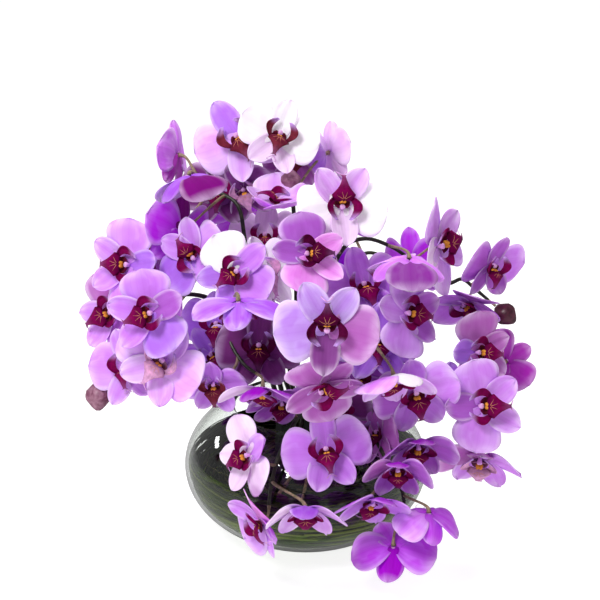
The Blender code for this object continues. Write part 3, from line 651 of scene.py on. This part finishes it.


# Each bloom has a number (0 where it is one solid with its stem), place, facing, span, cup and tint, then the
# tints of single petals and the lip's colour where they differ. A bud has place, facing, length and skin.
# The tints are partly painted light and shade: pale ones on brightly lit blooms, dark ones such as shade,
# dusk and magenta on shaded blooms and petals.
arrangement = {
    "left_low": {
        "foot": (-22, -6),
        "stem": [(-38, -60, -22), (-80, -5, 0), (-120, 5, 5), (-150, -15, 8), (-168, -45, 8),
                 (-180, -68, 6), (-190, -73, 4)],
        "blooms": [
            (1, (-170, 34, 12), (-30, 5, -90), 88, 0.12, "lavender", {"dorsal": "violet"}),
            (2, (-190, -14, -8), (-38, 0, -62), 86, 0.15, "lavender", {"left": "mauve", "right": "purple"}),
            (3, (-143, -13, 45), (-20, -5, -70), 86, 0.12, "lilac", {"dorsal": "purple", "right": "violet"}),
            (4, (-133, -60, 44), (-12, -5, -38), 90, 0.15, "pale", {"lip": "rose"}),
            (5, (-168, -66, 16), (-25, 0, 10), 84, 0.15, "lavender"),
        ],
        "bud": (-201, -81, 4, 0, -85, 30, "light"),
    },
    "left_high": {
        "foot": (-19, 10),
        "stem": [(-30, -50, -35), (-50, 10, -12), (-55, 60, 8), (-62, 94, 10), (-84, 110, 2),
                 (-108, 130, -10)],
        "blooms": [
            (1, (-106, 119, 16), (-48, -102, 0), 84, 0.45, "cool", {"right": "magenta"}),
            (2, (-123, 146, -12), (-106, 0, 0), 76, 0.15, "pale", {"lateral": "mauve"}),
            (3, (-118, 68, 0), (-135, 10, 10), 84, 0.12, "lilac", {"dorsal": "magenta"}),
            (4, (-102, 43, 38), (-30, 0, -145), 82, 0.12, "lavender", {"right": "violet"}),
            (0, (-82, 110, -14), (-12, -10, 0), 80, 0.08, "magenta"),
            (0, (-56, 110, -8), (0, -30, 20), 70, 0.12, "shade", {"lip": "rose"}),
            (0, (-140, 48, -14), (-50, 0, 20), 70, 0.12, "purple"),
        ],
    },
    "top_left": {
        "foot": (-6, 5),
        "stem": [(-3, -50, -25), (-4, 20, -12), (-6, 83, -5), (-9, 110, 0), (-15, 128, 4),
                 (-28, 150, 6), (-39, 163, 2)],
        "blooms": [
            (1, (-21, 160, 32), (10, 6, -20), 82, 0.10, "white", {"lip": "brown", "lateral": "blush"}),
            (2, (-23, 94, 42), (5, 60, -80), 74, 0.35, "pale"),
            (3, (-6, 141, -18), (0, -10, 0), 64, 0.10, "mauve",
             {"left": "shade", "right": "violet", "lip": "brown"}),
            (0, (30, 150, -26), (125, 10, 0), 66, 0.12, "blush"),
            (0, (-60, 160, 13), (-12, 0, 34), 94, 0.06, "pale",
             {"dorsal": "violet", "right": "white", "lip": "brown"}),
        ],
        "bud": (-9, 129, 18, 0, -80, 24, "light"),
    },
    "top_right": {
        "foot": (7, 8),
        "stem": [(14, -50, -20), (26, 10, 12), (42, 50, 28), (64, 60, 34), (90, 52, 30), (112, 38, 18)],
        "blooms": [
            (1, (39, 91, 72), (15, 10, 180), 88, 0.12, "white", {"lateral": "pale", "dorsal": "blush"}),
            (2, (8, 42, 88), (20, 15, 85), 80, 0.12, "pink",
             {"right": "purple", "dorsal": "purple", "lip": "dark"}),
            (3, (102, 38, 56), (10, -110, 80), 84, 0.35, "pale", {"right": "dusk"}),
            (4, (136, 54, 28), (60, 0, 112), 96, 0.12, "pale", {"dorsal": "blush", "right": "lavender"}),
            (5, (62, 12, 30), (15, 10, 15), 86, 0.12, "lilac"),
            (0, (82, -10, 26), (10, 0, 30), 76, 0.12, "shade"),
        ],
    },
    "right_high": {
        "foot": (21, 6),
        "stem": [(35, -60, -20), (75, -10, -10), (105, 16, -8), (128, 19, -8), (150, 17, -8),
                 (163, 21, -8), (175, 12, -8), (189, 0, -6)],
        "blooms": [
            (1, (190, 33, 10), (38, -26, 0), 76, 0.12, "purple", {"right": "lilac"}),
            (2, (165, -3, 16), (-20, -58, 40), 78, 0.25, "lilac", {"right": "purple"}),
        ],
        "bud": (196, -6, -4, 80, -40, 26, "dark"),
    },
    "right_low": {
        "foot": (22, -9),
        "stem": [(42, -88, -14), (75, -68, 5), (105, -72, 10), (122, -75, 10), (142, -70, 8),
                 (165, -75, 0), (180, -95, -10), (180, -122, -20)],
        "blooms": [
            (1, (173, -51, 22), (34, 0, 85), 80, 0.15, "mauve", {"dorsal": "violet"}),
            (2, (209, -62, -22), (140, 10, 60), 66, 0.12, "mauve"),
            (3, (175, -101, 55), (15, 0, 90), 88, 0.10, "lavender", {"dorsal": "purple"}),
            (4, (109, -88, 75), (12, -30, 14), 86, 0.12, "lilac", {"right": "lavender", "left": "purple"}),
            (5, (181, -160, -8), (-20, -62, -12), 92, 0.25, "lavender",
             {"dorsal": "mauve", "left": "mauve", "lip": "rose"}),
            (0, (146, -88, 22), (10, -10, 0), 62, 0.12, "violet"),
        ],
    },
    "front_right": {
        "foot": (13, -21),
        "stem": [(28, -108, -12), (50, -114, 25), (72, -134, 54), (86, -160, 70), (97, -180, 66),
                 (100, -198, 58), (95, -214, 48)],
        "blooms": [
            (1, (112, -139, 66), (8, -58, 0), 84, 0.33, "purple"),
            (2, (92, -158, 86), (-5, -56, 0), 74, 0.35, "purple", {"left": "mauve"}),
            (3, (67, -190, 88), (10, -65, -20), 78, 0.28, "lilac"),
            (4, (122, -202, 58), (15, -112, 0), 74, 0.40, "lavender", {"left": "pale"}),
            (5, (90, -236, 38), (-10, -132, 0), 84, 0.15, "lavender", {"dorsal": "purple"}),
            (0, (76, -129, 60), (-50, -5, 0), 68, 0.15, "mauve", {"lip": "dark"}),
            (0, (40, -104, 58), (0, -30, 0), 62, 0.12, "magenta"),
        ],
    },
    "front_left": {
        "foot": (-5, -22),
        "stem": [(5, -110, -10), (-2, -115, 25), (-12, -132, 50), (-22, -155, 66), (-28, -180, 68),
                 (-30, -200, 62)],
        "blooms": [
            (1, (25, -143, 90), (0, 0, 12), 84, 0.10, "lilac"),
            (2, (-49, -148, 88), (-50, 0, -60), 78, 0.15, "blush", {"dorsal": "lavender"}),
            (3, (5, -193, 94), (0, -68, 0), 84, 0.35, "pale", {"dorsal": "cool", "left": "blush"}),
            (4, (-37, -210, 90), (-58, -30, 42), 78, 0.20, "lavender", {"right": "pink"}),
            (0, (-19, -99, 55), (20, -55, 0), 70, 0.15, "purple"),
        ],
    },
    "centre_right": {
        "foot": (6, -7),
        "stem": [(10, -75, 22), (14, -55, 56), (26, -25, 82), (42, -12, 90), (56, -20, 92),
                 (67, -34, 90), (74, -48, 84)],
        "blooms": [
            (1, (24, -23, 124), (0, -5, 180), 92, 0.10, "cool",
             {"left": "mauve", "dorsal": "shade", "lip": "dark"}),
            (2, (86, -70, 98), (30, -74, 0), 84, 0.35, "pale", {"dorsal": "white"}),
            (3, (103, -13, 66), (40, 0, 80), 86, 0.12, "lavender", {"lateral": "purple"}),
            (4, (21, -80, 106), (20, -38, 120), 82, 0.10, "mauve"),
            (0, (74, -42, 50), (10, -5, 0), 84, 0.12, "violet"),
            (0, (58, -78, 34), (0, -20, 30), 74, 0.12, "purple"),
        ],
    },
    "centre_left": {
        "foot": (-8, -8),
        "stem": [(-10, -70, 5), (-18, -25, 18), (-32, 5, 24), (-52, 8, 28), (-68, -8, 34),
                 (-70, -35, 42), (-56, -60, 54), (-40, -72, 64)],
        "blooms": [
            (1, (-56, -2, 86), (0, -108, 0), 88, 0.22, "cool"),
            (2, (-61, 25, 68), (-15, 0, -50), 80, 0.12, "lilac", {"left": "white", "lateral": "violet"}),
            (3, (-35, -83, 98), (-20, -80, 0), 86, 0.25, "purple", {"left": "blush"}),
            (0, (-81, -25, 26), (-20, -10, 0), 74, 0.12, "violet"),
            (0, (-37, 24, 44), (30, 5, 20), 82, 0.12, "white", {"lip": "rose"}),
            (0, (-40, -47, 44), (0, 0, 0), 86, 0.12, "magenta", {"lip": "dark"}),
            (0, (-83, -82, 50), (-10, -35, 0), 68, 0.15, "lilac", {"lip": "brown"}),
            (0, (-86, -55, 20), (-10, -15, 30), 70, 0.12, "violet"),
            (0, (-36, 64, -42), (0, 5, 0), 74, 0.12, "blush"),
        ],
    },
    "back_left": {
        "foot": (-10, 21),
        "stem": [(-20, -70, -60), (-45, -5, -80), (-68, 38, -76), (-98, 35, -78), (-120, 5, -80)],
        "blooms": [
            (0, (-62, 92, -62), (-150, 30, 0), 80, 0.12, "lavender"),
            (0, (-112, 52, -98), (-135, 15, 0), 80, 0.12, "lilac"),
            (0, (-142, -12, -96), (-120, 0, 0), 80, 0.12, "lavender"),
            (0, (-52, 30, -120), (-170, 10, 0), 80, 0.12, "violet"),
            (0, (-72, -35, -130), (-165, -10, 0), 80, 0.12, "lilac"),
        ],
    },
    "back_right": {
        "foot": (9, 22),
        "stem": [(25, -70, -60), (45, 0, -78), (62, 45, -72), (88, 45, -74), (110, 20, -76)],
        "blooms": [
            (0, (46, 92, -66), (150, 30, 0), 80, 0.12, "lavender"),
            (0, (118, 40, -96), (135, 15, 0), 80, 0.12, "lilac"),
            (0, (30, 25, -135), (175, 10, 0), 80, 0.12, "violet"),
            (0, (82, -35, -130), (160, -10, 0), 80, 0.12, "lavender"),
        ],
    },
}

coarse = {  # the solids' own outline of a bloom: angle, reach, and share of the cup
    "outline": [(90, 0.48, 0.4), (73, 0.43, 0.5), (61, 0.31, 0.5), (46, 0.47, 1.0), (28, 0.53, 1.1),
                (2, 0.53, 1.1), (-18, 0.45, 0.9), (-34, 0.27, 0.4), (-44, 0.41, 0.5), (-58, 0.48, 0.4),
                (-74, 0.37, 0.3), (-90, 0.14, 0.2)],
    "halfThickness": 0.0006,
    "cupFold": 2.2,         # how much cupping narrows the outline
    "back": 0.0025,
    "lipTip": (0.0, -0.11, 0.20),
}


def coarseMiddle(row, matrix):
    # the middle of the solid bloom's box if it stood at its first place, to find how far it was settled
    span, cup = row["span"] * millimetre, row["cup"]
    fold = math.sqrt(1 - coarse["cupFold"] * cup * cup)
    points = [Vector((0, 0, -coarse["back"])), Vector(coarse["lipTip"]) * span]
    for angle, reach, rise in coarse["outline"]:
        a = math.radians(angle)
        far = span * reach * fold
        for s in (-1, 1):
            for side in (-1, 1):
                height = span * cup * rise + side * coarse["halfThickness"]
                points.append(Vector((s * math.cos(a) * far, math.sin(a) * far, height)))
    world = [matrix @ p for p in points]
    low = Vector([min(p[i] for p in world) for i in range(3)])
    high = Vector([max(p[i] for p in world) for i in range(3)])
    return (low + high) / 2


blooms = []
for spike, layout in arrangement.items():
    for count, row in enumerate(layout["blooms"]):
        number, at, turned, span, cup, tint = row[:6]
        extra = row[6] if len(row) > 6 else {}
        data = {"span": span, "cup": cup, "tint": tint, **extra}
        matrix = Matrix.Translation(leaning(*at)) @ facing(*turned)
        node = f"bloom_{spike}_{number}" if number else "spike_" + spike
        if number:
            low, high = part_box(node)
            matrix = Matrix.Translation((low + high) / 2 - coarseMiddle(data, matrix)) @ matrix
        name = f"{spike}_{number}" if number else f"{spike}_inner_{count}"
        rng = random.Random(name)
        petals = bloomPetals("petals_" + name, data, rng)
        sheet, heart = lipMesh("lip_" + name, data, rng)
        for piece in (petals, sheet, heart):
            place(piece, matrix, node)
        blooms.append({"name": name, "spike": spike, "matrix": matrix, "petals": petals})
print("blooms made:", len(blooms))


stemShape = {
    "radius": 0.0026,
    "tip": 0.62,
    "foamTop": 0.120,
    "depth": 0.030,
    "upright": 0.6,
    "joints": 7,
    "jointSwell": 0.15,
    "jointWidth": 0.004,    # the swelling's spread, as a squared share of a joint's length
    "pathSteps": 8,
    "sides": 10,
    "stalkRadius": 0.0014,
    "stalkLead": 0.016,     # how far a stalk runs straight behind its bloom
    "stalkSides": 8,
    "stalkSteps": 12,
    "lowest": 6,            # no stalk leaves the stem before this point of its path
    "tried": slice(0, 24, 4),       # of the stem's points, nearest first
    "leads": (1.0, 1.7, 0.6, 2.5),
    "bends": ((0.3, 0), (0.9, 0), (-0.4, 0), (0.3, 1.2), (0.3, -1.2)),  # along the stem, and up
    "clearance": 1.2,
    "hitCost": 0.02,        # a point in a petal counts as this much more stalk, in metres
}


def stemPath(layout):
    # from inside the foam, up through its top and on along the layout's points
    above = leaning(*layout["stem"][0])
    foot = Vector((layout["foot"][0] * millimetre, layout["foot"][1] * millimetre, stemShape["foamTop"]))
    along = (above - foot).normalized().lerp(Vector((0, 0, 1)), stemShape["upright"]).normalized()
    bottom = foot - along * stemShape["depth"]
    top = foot + along * 3 * stemShape["radius"]
    return [bottom] + smoothPath([top] + [leaning(*p) for p in layout["stem"]], stemShape["pathSteps"])


def bezier(a, b, c, d, steps):
    # a cubic curve from a to d
    return [a * (1 - t) ** 3 + b * 3 * (1 - t) ** 2 * t + c * 3 * (1 - t) * t * t + d * t ** 3
            for t in (i / steps for i in range(steps + 1))]


petalTrees = {}
bpy.context.view_layer.update()
for bloom in blooms:
    mesh = bloom["petals"].data
    points = [bloom["matrix"] @ v.co for v in mesh.vertices]
    petalTrees[bloom["name"]] = BVHTree.FromPolygons(points, [tuple(p.vertices) for p in mesh.polygons])


def routeStalk(stem, end, outward, own):
    # of several bent stalks, the shortest that passes clear of the petals around it, or of the most
    best = None
    clearance = stemShape["stalkRadius"] * stemShape["clearance"]
    for lead in stemShape["leads"]:
        before = end - outward * stemShape["stalkLead"] * lead
        near = sorted(range(stemShape["lowest"], len(stem) - 1), key=lambda i: (stem[i] - before).length)
        for index in near[stemShape["tried"]]:
            along = (stem[index + 1] - stem[index - 1]).normalized()
            for on, up in stemShape["bends"]:
                push = (along * on + Vector((0, 0, up))) * stemShape["stalkLead"]
                bend = stem[index].lerp(before, 0.4) + push
                path = bezier(stem[index], bend, before, end, stemShape["stalkSteps"])
                hits = 0
                for name, tree in petalTrees.items():
                    for p in path[1:-2 if name == own else None]:
                        hits += tree.find_nearest(p, clearance)[0] is not None
                cost = hits * stemShape["hitCost"] + sum((q - p).length for p, q in zip(path, path[1:]))
                if best is None or cost < best[0]:
                    best = (cost, path)
    return best[1]


black = (0, 0, 0, 1)  # stems and stalks carry no tint of their own
for spike, layout in arrangement.items():
    path = stemPath(layout)
    store = newStore()
    radii = []
    for i in range(len(path)):
        share = i / (len(path) - 1)
        fromJoint = (share * stemShape["joints"]) % 1 - 0.5
        swell = stemShape["jointSwell"] * math.exp(-fromJoint ** 2 / stemShape["jointWidth"])
        radii.append(stemShape["radius"] * (1 + (stemShape["tip"] - 1) * share) * (1 + swell))
    vertices, faces = sweep(path, radii, stemShape["sides"])
    append(store, vertices, faces, black)
    for bloom in blooms:
        if bloom["spike"] != spike:
            continue
        outward = (bloom["matrix"].to_3x3() @ Vector((0, 0, 1))).normalized()
        end = bloom["matrix"].translation - outward * 0.001
        route = routeStalk(path, end, outward, bloom["name"])
        thick = [stemShape["stalkRadius"] * (1.25 - 0.35 * math.sin(math.pi * t) + 0.5 * t ** 6)
                 for t in (k / stemShape["stalkSteps"] for k in range(len(route)))]
        vertices, faces = sweep(route, thick, stemShape["stalkSides"])
        append(store, vertices, faces, black, 1)
    if "bud" in layout:
        across, up, forward, turn, tilt = layout["bud"][:5]
        matrix = Matrix.Translation(leaning(across, up, forward)) @ facing(turn, tilt, 0)
        outward = (matrix.to_3x3() @ Vector((0, 0, 1))).normalized()
        route = routeStalk(path, matrix.translation, outward, None)
        vertices, faces = sweep(route, [stemShape["stalkRadius"]] * len(route), stemShape["stalkSides"])
        append(store, vertices, faces, black, 1)
    stem = makePiece("stem_" + spike, store["vertices"], store["faces"], [stemSkin, stalkSkin],
                     slots=store["slots"])
    place(stem, Matrix.Identity(4), "spike_" + spike)
print("stems and stalks made")

budShape = {
    "rings": 14,
    "sides": 24,
    "heights": [0, 0.08, 0.32, 0.5, 0.62, 0.88, 1.0],   # shares of the bud's length
    "radii": [0.08, 0.18, 0.41, 0.44, 0.41, 0.20, 0.04],
    "groove": 0.10,
    "grooveHalf": 0.22,
}


def budMesh(name, length, skin):
    # a plump bud of three sepals that close to a blunt point, with a groove where they meet
    vertices = []
    rings, sides = budShape["rings"], budShape["sides"]
    for i in range(rings):
        t = (i + 0.3) / (rings - 0.4)
        radius = length * np.interp(t, budShape["heights"], budShape["radii"])
        for k in range(sides):
            a = math.tau * k / sides
            dip = budShape["groove"] * math.exp(-(math.sin(a * 1.5) / budShape["grooveHalf"]) ** 2)
            out = radius * (1 - dip)
            vertices.append(Vector((math.cos(a) * out, math.sin(a) * out, t * length)))
    return makePiece(name, vertices, tubeFaces(rings, sides), [skin])


for spike, layout in arrangement.items():
    if "bud" in layout:
        across, up, forward, turn, tilt, length, skin = layout["bud"]
        bud = budMesh("closed_bud_" + spike, length * millimetre, budDark if skin == "dark" else budSkin)
        matrix = Matrix.Translation(leaning(across, up, forward)) @ facing(turn, tilt, 0)
        place(bud, matrix, "bud_" + spike)
print("buds made")


bowl = {
    "radius": 0.125,
    "halfHeight": 0.082,
    "baseRadius": 0.046,
    "mouthRadius": 0.075,
    "wall": 0.003,
    "pinhole": 0.0004,      # the base's innermost ring, closed by a small cap
    "rimSteps": 8,
    "rimHeight": 0.8,       # height of the rim's rounding, as a share of half the wall
    "sides": 128,
    "steps": 40,
}
bowlMiddle = bowl["halfHeight"] * math.sqrt(1 - (bowl["baseRadius"] / bowl["radius"]) ** 2)


def bowlCurve(inset):
    # the bowl's round profile from mouth to base, this far inside its outer face
    steps = bowl["steps"]
    first = math.acos(bowl["mouthRadius"] / bowl["radius"])
    last = -math.acos(bowl["baseRadius"] / bowl["radius"])
    angles = [first + (last - first) * i / steps for i in range(steps + 1)]
    return [((bowl["radius"] - inset) * math.cos(a), bowlMiddle + (bowl["halfHeight"] - inset) * math.sin(a))
            for a in angles]


def lathe(name, profile, materials, sides):
    # the profile of radii and heights, turned round the upright axis
    vertices, faces = [], []
    for radius, height in profile:
        for k in range(sides):
            a = math.tau * k / sides
            vertices.append((radius * math.cos(a), radius * math.sin(a), height))
    for i in range(len(profile) - 1):
        for k in range(sides):
            a, b = i * sides + k, i * sides + (k + 1) % sides
            faces.append((a, a + sides, b + sides, b))
    last = (len(profile) - 1) * sides
    faces.append(tuple(range(sides)))
    faces.append(tuple(last + k for k in range(sides - 1, -1, -1)))
    return makePiece(name, vertices, faces, materials)


outer = bowlCurve(0)
inner = bowlCurve(bowl["wall"])
innerTop, outerTop = Vector(inner[0]), Vector(outer[0])
wallMiddle = (innerTop + outerTop) / 2
halfWall = (outerTop - innerTop) / 2
upwards = halfWall.orthogonal() * bowl["rimHeight"]
rim = []
for k in range(1, bowl["rimSteps"]):  # fire-polished rim, rounded over the wall
    a = math.pi * k / bowl["rimSteps"]
    rim.append(tuple(wallMiddle - halfWall * math.cos(a) + upwards * math.sin(a)))
inside = [p for p in inner[::-1] if p[1] > bowl["wall"]]
profile = [(bowl["pinhole"], bowl["wall"])] + inside + rim + outer + [(bowl["pinhole"], 0.0)]
glass = lathe("glass_bubble_bowl", profile, [bowlGlass], bowl["sides"])
place(glass, Matrix.Identity(4), "vase_bowl")

grass = {
    "width": (0.0014, 0.0040),
    "thickness": 0.0003,
    "segments": 44,
    "turn": (1.2, 3.6),     # how far a blade coils round the bowl, in radians
    "wave": 0.005,
    "slope": 0.03,
    "paintedShadeTop": 0.45,        # painted shade: how dark the shades are kept at the top; painted light from the table: how much they gain low down
    "paintedUnderlight": 2.8,
    "outer": {
        "blades": 380,
        "inset": (0.0036, 0.0075),
        "height": (0.007, 0.086),
        "shades": ["#364A1C", "#4A5F25", "#27381A", "#5C7030", "#728248", "#1F2C12", "#3F4C20", "#88945C"],
    },
    # blades deeper in: their near-black shades are partly the grass's own colour, partly painted shade inside
    # the bowl
    "inner": {
        "blades": 120,
        "inset": (0.009, 0.022),
        "height": (0.014, 0.080),
        "shades": ["#161F0E", "#0F150A", "#202B14", "#131A0C"],
    },
}


def wallAt(height, inset):
    # radius at this height of a surface that lies inside the bowl's outer face
    share = (height - bowlMiddle) / (bowl["halfHeight"] - inset)
    return (bowl["radius"] - inset) * math.sqrt(max(0.0, 1 - share * share))


def bladeBand(name, rng, band):
    # long blades coiled round the bowl, each a thin strip that hugs the wall at its own depth
    store = newStore()
    lowest, highest = band["height"]
    for _ in range(band["blades"]):
        inset = rng.uniform(*band["inset"])
        start = rng.uniform(0, math.tau)
        turn = rng.uniform(*grass["turn"]) * rng.choice((-1, 1))
        height = rng.uniform(lowest, highest)
        rise = rng.uniform(-grass["slope"], grass["slope"])
        wave = rng.uniform(0.0, grass["wave"])
        phase = rng.uniform(0, math.tau)
        wide = rng.uniform(*grass["width"])
        low = 1 - (height - lowest) / (highest - lowest)
        paintedUnderlight = grass["paintedShadeTop"] + grass["paintedUnderlight"] * low ** 2  # painted light: blades low down made paler as if lit from the table through the glass, the upper ones darker as painted shade
        colour = tuple(c * paintedUnderlight for c in linear(rng.choice(band["shades"]))[:3]) + (1.0,)
        begin = len(store["vertices"])
        segments = grass["segments"]
        for i in range(segments + 1):
            t = i / segments
            a = start + turn * t
            z = height + rise * (t - 0.5) + wave * math.sin(a * 2 + phase)
            z = min(max(z, lowest - 0.002), highest + 0.004)
            half = wide / 2 * min(1, (1 - abs(2 * t - 1)) * 5 + 0.12)
            for v in (-1, 0, 1):
                zz = z + v * half
                radius = wallAt(zz, inset + (0.0005 if v else 0))
                store["vertices"].append((radius * math.cos(a), radius * math.sin(a), zz))
                store["where"].append((t, v, 0))
                store["colours"].append(colour)
        store["faces"] += gridFaces(segments + 1, 3, begin)
    piece = paintedPiece(name, store, [grassBlade])
    thicken(piece, grass["thickness"])
    place(piece, Matrix.Identity(4), "grass_lining")


rng = random.Random("grass")
bladeBand("grass_blades_outer", rng, grass["outer"])
bladeBand("grass_blades_inner", rng, grass["inner"])

nest = {
    "strands": 150,
    "radius": (0.050, 0.100),
    "height": (0.045, 0.082),
    "turn": (0.8, 2.6),
    "drift": 0.018,         # how far a strand strays inwards or outwards on its way
    "dip": 0.006,
    "thickness": (0.0006, 0.0013),
    "wallGap": 0.022,
    "foamGap": 0.047,       # least radius, which clears the foam block's corners
    "steps": 24,
    "shades": ["#2A2A1C", "#1B1D14", "#3B3A28", "#4C4634", "#16140F"],
}


def strandNest(name, rng):
    # dark loose ends of grass and root that fill the bowl up to its widest place, their near-black colours
    # partly their own and partly painted shade inside the bowl
    store = newStore()
    steps = nest["steps"]
    for _ in range(nest["strands"]):
        radius = rng.uniform(*nest["radius"])
        start = rng.uniform(0, math.tau)
        turn = rng.uniform(*nest["turn"]) * rng.choice((-1, 1))
        height = rng.uniform(*nest["height"])
        drift = rng.uniform(-nest["drift"], nest["drift"])
        thick = rng.uniform(*nest["thickness"])
        path = []
        for i in range(steps + 1):
            t = i / steps
            a = start + turn * t
            r = min(radius + drift * (t - 0.5) * 2, wallAt(height, nest["wallGap"]))
            r = max(r, nest["foamGap"])
            z = height + nest["dip"] * math.sin(a * 3 + start)
            path.append(Vector((r * math.cos(a), r * math.sin(a), z)))
        vertices, faces = sweep(path, [thick] * (steps + 1), 5)
        append(store, vertices, faces, linear(rng.choice(nest["shades"])))
    piece = paintedPiece(name, store, [grassBlade])
    place(piece, Matrix.Identity(4), "grass_lining")


strandNest("grass_nest", rng)

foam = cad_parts["foam_block"]  # the solid itself, with a wet skin
foam.data.materials.clear()
foam.data.materials.append(foamWet)

twigRadius = 0.0019
twigs = {  # points in millimetres
    "twig_1": [(-12, -31.5, 76), (-18, -50, 78), (-30, -78, 73), (-46.7, -105.4, 66.5)],
    "twig_2": [(2, -31.5, 88), (3, -48, 92), (0, -75, 88), (-6.2, -115.2, 80)],
}
for name, points in twigs.items():
    path = smoothPath([Vector(p) * millimetre for p in points], 8)
    rng = random.Random(name)
    radii = [twigRadius * (1 - 0.3 * i / len(path)) * rng.uniform(0.88, 1.1) for i in range(len(path))]
    vertices, faces = sweep(path, radii, 9)
    twig = makePiece("dry_" + name, vertices, faces, [twigBark])
    place(twig, Matrix.Identity(4), name)
print("bowl, grass and twigs made")


studio = {
    "distance": 1.6,
    "elevation": 20,
    "seen": 0.600,          # width seen at the display's middle
    "sensor": 36,
    "softLight": 0.45,
    "softMirrored": 0.26,   # strengths where they are seen by reflection
    "floorGlow": 0.84,
    "floorMirrored": 0.12,
    "floorHalf": 6,
}


def dimmedInMirrors(owner, strength, mirrored):
    # a strength that drops where it is seen by reflection, as with dark cloths round a glass piece
    rays = addNode(owner, "ShaderNodeLightPath")
    reflected = addNode(owner, "ShaderNodeMath", {"operation": "GREATER_THAN", 1: 0.5},
                        {0: (rays, "Glossy Depth")})
    return addNode(owner, "ShaderNodeMath",
                   {"operation": "MULTIPLY_ADD", 1: mirrored - strength, 2: strength},
                   {0: (reflected, "Value")})


floorMesh = bpy.data.meshes.new("pale_floor")
half = studio["floorHalf"]
corners = [(-half, -half, 0), (half, -half, 0), (half, half, 0), (-half, half, 0)]
floorMesh.from_pydata(corners, [], [(0, 1, 2, 3)])
floor = bpy.data.objects.new("pale_floor", floorMesh)
bpy.context.scene.collection.objects.link(floor)
floorPaint, floorSurface = startMaterial("white_studio_floor", {
    "Base Color": linear("#A8A8A8"), "Roughness": 0.9, "Emission Color": (1, 1, 1, 1)})
wire(floorPaint, dimmedInMirrors(floorPaint, studio["floorGlow"], studio["floorMirrored"]), "Value",
     floorSurface, "Emission Strength")
floorMesh.materials.append(floorPaint)

world = bpy.data.worlds.new("studio")
bpy.context.scene.world = world
world.use_nodes = True
soft = world.node_tree.nodes["Background"]
soft.inputs["Color"].default_value = linear("#FFFFFF")
wire(world, dimmedInMirrors(world, studio["softLight"], studio["softMirrored"]), "Value", soft, "Strength")
# plain white straight behind the piece and behind its clear glass
rays = addNode(world, "ShaderNodeLightPath")
backdrop = addNode(world, "ShaderNodeBackground", {"Color": linear("#FFFFFF")})
straight = addNode(world, "ShaderNodeMath", {"operation": "ADD", "use_clamp": True},
                   {0: (rays, "Is Camera Ray"), 1: (rays, "Is Transmission Ray")})
bounces = addNode(world, "ShaderNodeMath", {"operation": "ADD"},
                  {0: (rays, "Diffuse Depth"), 1: (rays, "Glossy Depth")})
early = addNode(world, "ShaderNodeMath", {"operation": "LESS_THAN", 1: 0.5}, {0: (bounces, "Value")})
share = addNode(world, "ShaderNodeMath", {"operation": "MULTIPLY"},
                {0: (straight, "Value"), 1: (early, "Value")})
either = addNode(world, "ShaderNodeMixShader", {}, {"Fac": (share, "Value"), 1: (soft, "Background"),
                                                    2: (backdrop, "Background")})
wire(world, either, "Shader", world.node_tree.nodes["World Output"], "Surface")


def areaLight(name, at, aim, size, power):
    light = bpy.data.lights.new(name, "AREA")
    light.shape = "RECTANGLE"
    light.size, light.size_y = size
    light.energy = power
    lamp = bpy.data.objects.new(name, light)
    lamp.location = at
    lamp.rotation_euler = (Vector(aim) - Vector(at)).to_track_quat("-Z", "Y").to_euler()
    bpy.context.scene.collection.objects.link(lamp)
    return lamp


lamps = {  # place, aim, size in metres and power in watts
    "top_back": ((0.15, 0.6, 1.4), (0, 0, 0.3), (0.9, 0.6), 12),
    "front_left": ((-0.6, -1.0, 1.5), (0, 0, 0.25), (0.5, 0.5), 20),
    # two small strips that only show as highlights on the glass
    "strip_behind": ((-1.30, 0.72, 0.80), (-0.09, -0.05, 0.12), (0.32, 0.10), 1.6),
    "strip_beside": ((-1.08, -1.20, 0.24), (-0.05, -0.11, 0.09), (0.28, 0.08), 1.0),
}
for name, settings in lamps.items():
    areaLight(name, *settings).visible_glossy = name != "top_back"  # too wide to be mirrored in the glass

camera = bpy.data.cameras.new("camera")
cameraObject = bpy.data.objects.new("camera", camera)
bpy.context.scene.collection.objects.link(cameraObject)
lean = math.radians(studio["elevation"])
cameraObject.location = displayMiddle + Vector((0, -math.cos(lean), math.sin(lean))) * studio["distance"]
cameraObject.rotation_euler = (math.pi / 2 - lean, 0, 0)
camera.sensor_width = studio["sensor"]
camera.lens = studio["sensor"] * studio["distance"] / studio["seen"]
bpy.context.scene.camera = cameraObject
bpy.context.scene.view_settings.view_transform = "Standard"
